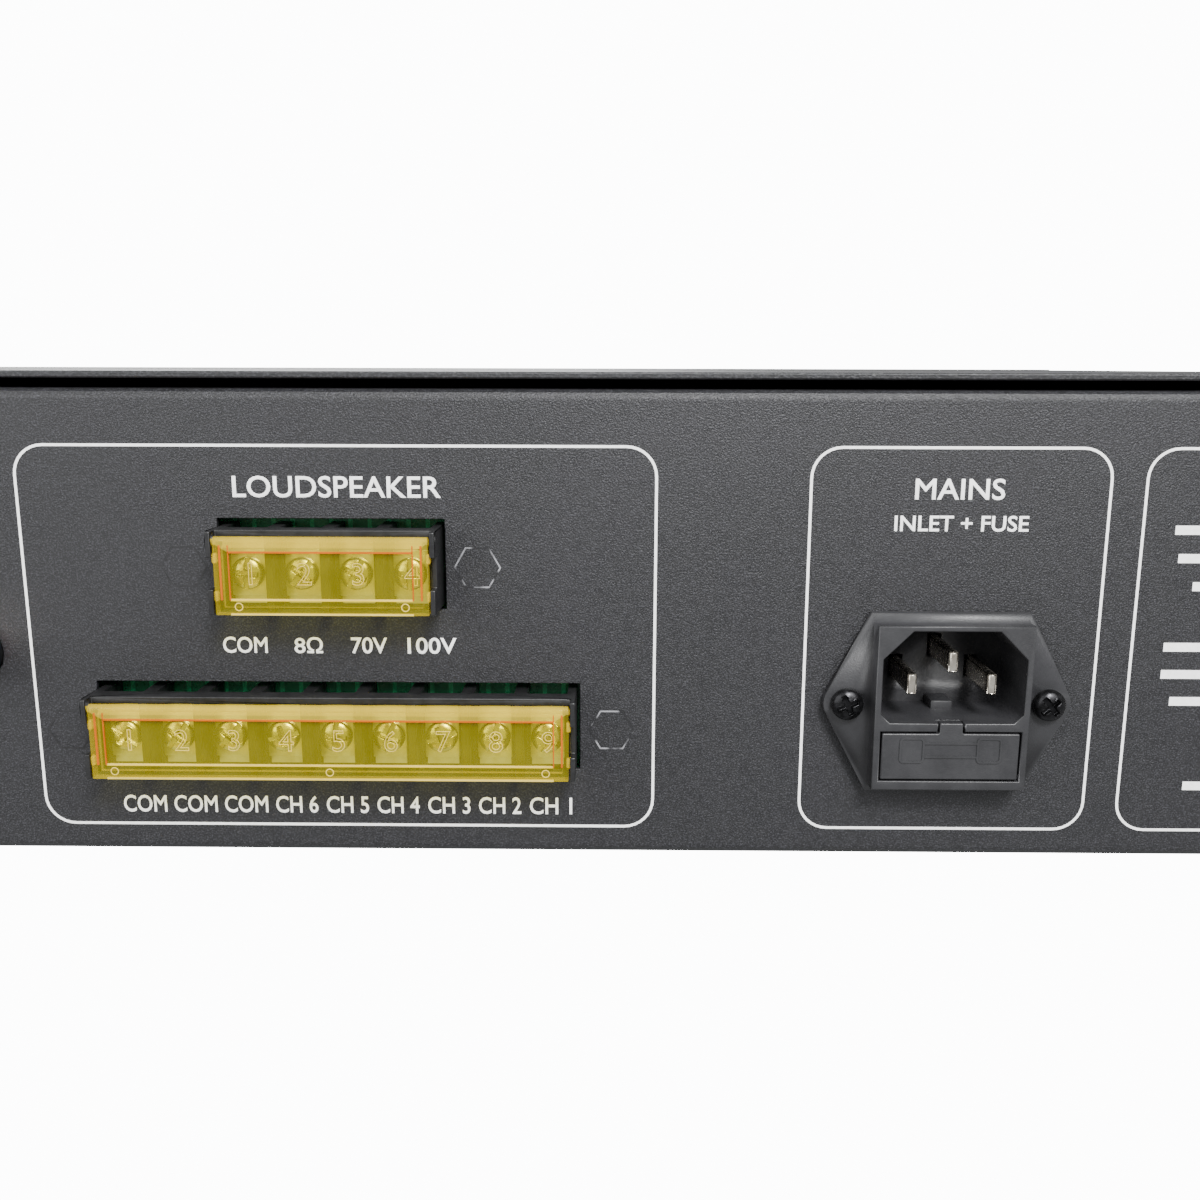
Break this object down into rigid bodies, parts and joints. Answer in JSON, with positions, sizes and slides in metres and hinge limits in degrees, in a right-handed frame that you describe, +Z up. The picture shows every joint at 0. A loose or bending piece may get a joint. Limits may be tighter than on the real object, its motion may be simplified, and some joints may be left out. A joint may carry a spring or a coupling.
{
  "type": "rack power amplifier",
  "caption": "Rack-width public address power amplifier with a mains inlet and fuse drawer, screw terminals under hinged clear lids, zone buttons and knobs.",
  "frame": {"origin": "centre of the bounding box's base, on the surface that the feet stand on", "axes": "+X to the right seen from the front, along the rack width; +Y from the front panel to the rear panel; +Z up"},
  "size_m": [0.4826, 0.3586, 0.0969],
  "materials": {
    "powder_coat": "fine textured black powder coat",
    "cover_coat": "fine textured black powder coat",
    "front_panel": "satin black powder coat on aluminium",
    "rack_ear": "satin black",
    "foot_rubber": "moulded matte",
    "inlet_plastic": "satin moulded black",
    "nickel": "nickel plate",
    "black_screw": "blackened steel, oiled",
    "block_nylon": "moulded black nylon",
    "amber_lid": "clear amber polycarbonate",
    "board_green": "green solder resist on glass laminate",
    "fuse_glass": "glass tube with plated caps",
    "knob_plastic": "moulded black",
    "button_plastic": "moulded grey",
    "transformer_iron": "varnished laminations with taped winding",
    "heatsink_aluminium": "extruded, plain",
    "capacitor_sleeve": "dark heat-shrink sleeve"
  },
  "bodies": {
    "chassis": {"chassis_pan": "powder_coat", "top_cover": "cover_coat", "front_panel": "front_panel", "rack_ear_left": "rack_ear", "rack_ear_right": "rack_ear", "foot_front_left": "foot_rubber", "foot_front_right": "foot_rubber", "foot_rear_left": "foot_rubber", "foot_rear_right": "foot_rubber", "inlet_housing": "inlet_plastic", "inlet_pin_live": "nickel", "inlet_pin_neutral": "nickel", "inlet_pin_earth": "nickel", "inlet_screw_left": "black_screw", "inlet_screw_right": "black_screw", "line_block": "block_nylon", "zone_block": "block_nylon", "output_board": "board_green", "board_standoff_1": "nickel", "board_standoff_2": "nickel", "board_standoff_3": "nickel", "board_standoff_4": "nickel", "line_input_sockets": "inlet_plastic", "microphone_jack": "inlet_plastic", "power_switch_frame": "inlet_plastic", "front_board": "board_green", "power_transformer": "transformer_iron", "output_transformer": "transformer_iron", "heatsink": "heatsink_aluminium", "amplifier_board": "board_green", "capacitor_1": "capacitor_sleeve", "capacitor_2": "capacitor_sleeve"},
    "line_lid": {"line_lid": "amber_lid"},
    "line_screw_1": {"line_screw_1": "nickel"},
    "line_screw_2": {"line_screw_2": "nickel"},
    "line_screw_3": {"line_screw_3": "nickel"},
    "line_screw_4": {"line_screw_4": "nickel"},
    "zone_lid": {"zone_lid": "amber_lid"},
    "zone_screw_1": {"zone_screw_1": "nickel"},
    "zone_screw_2": {"zone_screw_2": "nickel"},
    "zone_screw_3": {"zone_screw_3": "nickel"},
    "zone_screw_4": {"zone_screw_4": "nickel"},
    "zone_screw_5": {"zone_screw_5": "nickel"},
    "zone_screw_6": {"zone_screw_6": "nickel"},
    "zone_screw_7": {"zone_screw_7": "nickel"},
    "zone_screw_8": {"zone_screw_8": "nickel"},
    "zone_screw_9": {"zone_screw_9": "nickel"},
    "fuse_drawer": {"fuse_drawer": "inlet_plastic", "fuse": "fuse_glass"},
    "input_knob": {"input_knob": "knob_plastic"},
    "bass_knob": {"bass_knob": "knob_plastic"},
    "treble_knob": {"treble_knob": "knob_plastic"},
    "master_knob": {"master_knob": "knob_plastic"},
    "zone_button_1": {"zone_button_1": "button_plastic"},
    "zone_button_2": {"zone_button_2": "button_plastic"},
    "zone_button_3": {"zone_button_3": "button_plastic"},
    "zone_button_4": {"zone_button_4": "button_plastic"},
    "zone_button_5": {"zone_button_5": "button_plastic"},
    "zone_button_6": {"zone_button_6": "button_plastic"},
    "power_rocker": {"power_rocker": "knob_plastic"}
  },
  "joints": [
    {"name": "line_lid_hinge", "type": "hinge", "parent": "chassis", "child": "line_lid", "pos_m": [0.0056, 0.17715, 0.0692], "axis": [1, 0, 0], "range_deg": [0, 105]},
    {"name": "line_screw_1_turn", "type": "hinge", "parent": "chassis", "child": "line_screw_1", "pos_m": [0.01985, 0.17175, 0.0621], "axis": [0, 1, 0], "range_deg": [0, 1530]},
    {"name": "line_screw_2_turn", "type": "hinge", "parent": "chassis", "child": "line_screw_2", "pos_m": [0.01035, 0.17175, 0.0621], "axis": [0, 1, 0], "range_deg": [0, 1530]},
    {"name": "line_screw_3_turn", "type": "hinge", "parent": "chassis", "child": "line_screw_3", "pos_m": [0.00085, 0.17175, 0.0621], "axis": [0, 1, 0], "range_deg": [0, 1530]},
    {"name": "line_screw_4_turn", "type": "hinge", "parent": "chassis", "child": "line_screw_4", "pos_m": [-0.00865, 0.17175, 0.0621], "axis": [0, 1, 0], "range_deg": [0, 1530]},
    {"name": "zone_lid_hinge", "type": "hinge", "parent": "chassis", "child": "zone_lid", "pos_m": [0.0056, 0.17715, 0.0395], "axis": [1, 0, 0], "range_deg": [0, 105]},
    {"name": "zone_screw_1_turn", "type": "hinge", "parent": "chassis", "child": "zone_screw_1", "pos_m": [0.0436, 0.17175, 0.0324], "axis": [0, 1, 0], "range_deg": [0, 1530]},
    {"name": "zone_screw_2_turn", "type": "hinge", "parent": "chassis", "child": "zone_screw_2", "pos_m": [0.0341, 0.17175, 0.0324], "axis": [0, 1, 0], "range_deg": [0, 1530]},
    {"name": "zone_screw_3_turn", "type": "hinge", "parent": "chassis", "child": "zone_screw_3", "pos_m": [0.0246, 0.17175, 0.0324], "axis": [0, 1, 0], "range_deg": [0, 1530]},
    {"name": "zone_screw_4_turn", "type": "hinge", "parent": "chassis", "child": "zone_screw_4", "pos_m": [0.0151, 0.17175, 0.0324], "axis": [0, 1, 0], "range_deg": [0, 1530]},
    {"name": "zone_screw_5_turn", "type": "hinge", "parent": "chassis", "child": "zone_screw_5", "pos_m": [0.0056, 0.17175, 0.0324], "axis": [0, 1, 0], "range_deg": [0, 1530]},
    {"name": "zone_screw_6_turn", "type": "hinge", "parent": "chassis", "child": "zone_screw_6", "pos_m": [-0.0039, 0.17175, 0.0324], "axis": [0, 1, 0], "range_deg": [0, 1530]},
    {"name": "zone_screw_7_turn", "type": "hinge", "parent": "chassis", "child": "zone_screw_7", "pos_m": [-0.0134, 0.17175, 0.0324], "axis": [0, 1, 0], "range_deg": [0, 1530]},
    {"name": "zone_screw_8_turn", "type": "hinge", "parent": "chassis", "child": "zone_screw_8", "pos_m": [-0.0229, 0.17175, 0.0324], "axis": [0, 1, 0], "range_deg": [0, 1530]},
    {"name": "zone_screw_9_turn", "type": "hinge", "parent": "chassis", "child": "zone_screw_9", "pos_m": [-0.0324, 0.17175, 0.0324], "axis": [0, 1, 0], "range_deg": [0, 1530]},
    {"name": "fuse_drawer_slide", "type": "slide", "parent": "chassis", "child": "fuse_drawer", "axis": [0, 1, 0], "range_m": [0, 0.0125]},
    {"name": "input_knob_turn", "type": "hinge", "parent": "chassis", "child": "input_knob", "pos_m": [0.018, -0.16425, 0.051], "axis": [0, 1, 0], "range_deg": [-150, 150]},
    {"name": "bass_knob_turn", "type": "hinge", "parent": "chassis", "child": "bass_knob", "pos_m": [0.066, -0.16425, 0.051], "axis": [0, 1, 0], "range_deg": [-150, 150]},
    {"name": "treble_knob_turn", "type": "hinge", "parent": "chassis", "child": "treble_knob", "pos_m": [0.114, -0.16425, 0.051], "axis": [0, 1, 0], "range_deg": [-150, 150]},
    {"name": "master_knob_turn", "type": "hinge", "parent": "chassis", "child": "master_knob", "pos_m": [0.168, -0.16425, 0.051], "axis": [0, 1, 0], "range_deg": [-150, 150]},
    {"name": "zone_button_1_press", "type": "slide", "parent": "chassis", "child": "zone_button_1", "axis": [0, 1, 0], "range_m": [0, 0.0025], "stiffness_N_per_m": 250, "springref_m": -0.002},
    {"name": "zone_button_2_press", "type": "slide", "parent": "chassis", "child": "zone_button_2", "axis": [0, 1, 0], "range_m": [0, 0.0025], "stiffness_N_per_m": 250, "springref_m": -0.002},
    {"name": "zone_button_3_press", "type": "slide", "parent": "chassis", "child": "zone_button_3", "axis": [0, 1, 0], "range_m": [0, 0.0025], "stiffness_N_per_m": 250, "springref_m": -0.002},
    {"name": "zone_button_4_press", "type": "slide", "parent": "chassis", "child": "zone_button_4", "axis": [0, 1, 0], "range_m": [0, 0.0025], "stiffness_N_per_m": 250, "springref_m": -0.002},
    {"name": "zone_button_5_press", "type": "slide", "parent": "chassis", "child": "zone_button_5", "axis": [0, 1, 0], "range_m": [0, 0.0025], "stiffness_N_per_m": 250, "springref_m": -0.002},
    {"name": "zone_button_6_press", "type": "slide", "parent": "chassis", "child": "zone_button_6", "axis": [0, 1, 0], "range_m": [0, 0.0025], "stiffness_N_per_m": 250, "springref_m": -0.002},
    {"name": "power_rocker_tip", "type": "hinge", "parent": "chassis", "child": "power_rocker", "pos_m": [-0.188, -0.16325, 0.051], "axis": [1, 0, 0], "range_deg": [-18, 0]}
  ]
}
